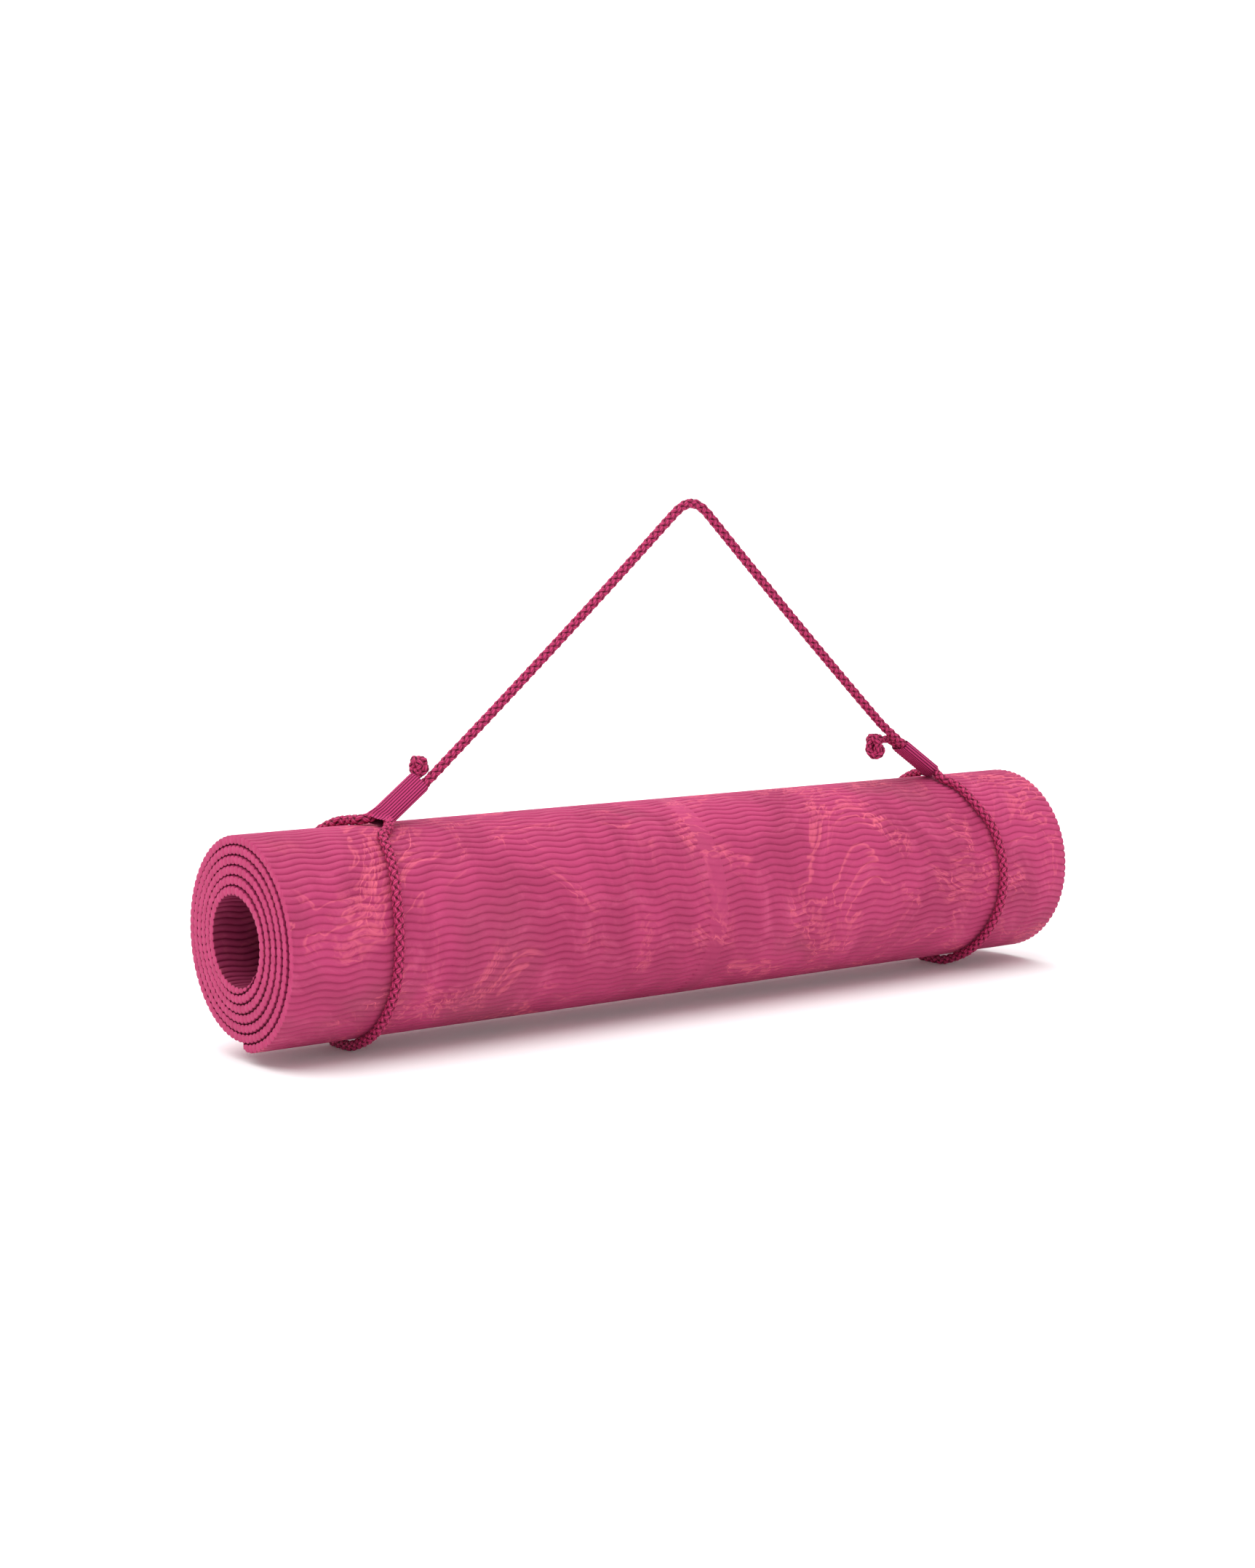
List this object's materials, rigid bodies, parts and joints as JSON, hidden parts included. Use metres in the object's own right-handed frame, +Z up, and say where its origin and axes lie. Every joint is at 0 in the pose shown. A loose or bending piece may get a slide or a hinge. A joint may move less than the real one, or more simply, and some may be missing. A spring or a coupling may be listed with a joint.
{
  "type": "rolled yoga mat with carry strap",
  "caption": "Rolled foam yoga mat held by a braided carry cord with two cinched loops, woven sleeves, stopper knots and a strap.",
  "frame": {"origin": "centre of the bounding box in X and Y, at the height of the flats on which the two cord loops stand", "axes": "+X runs along the roll, -Y is the front, +Z is up"},
  "size_m": [0.61, 0.1352, 0.3226],
  "materials": {
    "mat_foam": "matt marbled foam",
    "cord": "braided",
    "sleeve_webbing": "ribbed weave",
    "thread": "sewing thread"
  },
  "bodies": {
    "roll": {"mat": "mat_foam"},
    "carrier": {"left_loop": "cord", "right_loop": "cord", "left_sleeve": "sleeve_webbing", "right_sleeve": "sleeve_webbing", "left_stitching": "thread", "right_stitching": "thread", "left_knot": "cord", "right_knot": "cord"},
    "strap": {"carry_strap": "cord"}
  },
  "joints": [
    {"name": "carrier_slide", "type": "slide", "parent": "roll", "child": "carrier", "axis": [1, 0, 0], "range_m": [-0.04, 0.06]},
    {"name": "strap_swing", "type": "hinge", "parent": "carrier", "child": "strap", "pos_m": [0, -0.0086, 0.17055], "axis": [1, 0, 0], "range_deg": [-118, 118]}
  ]
}
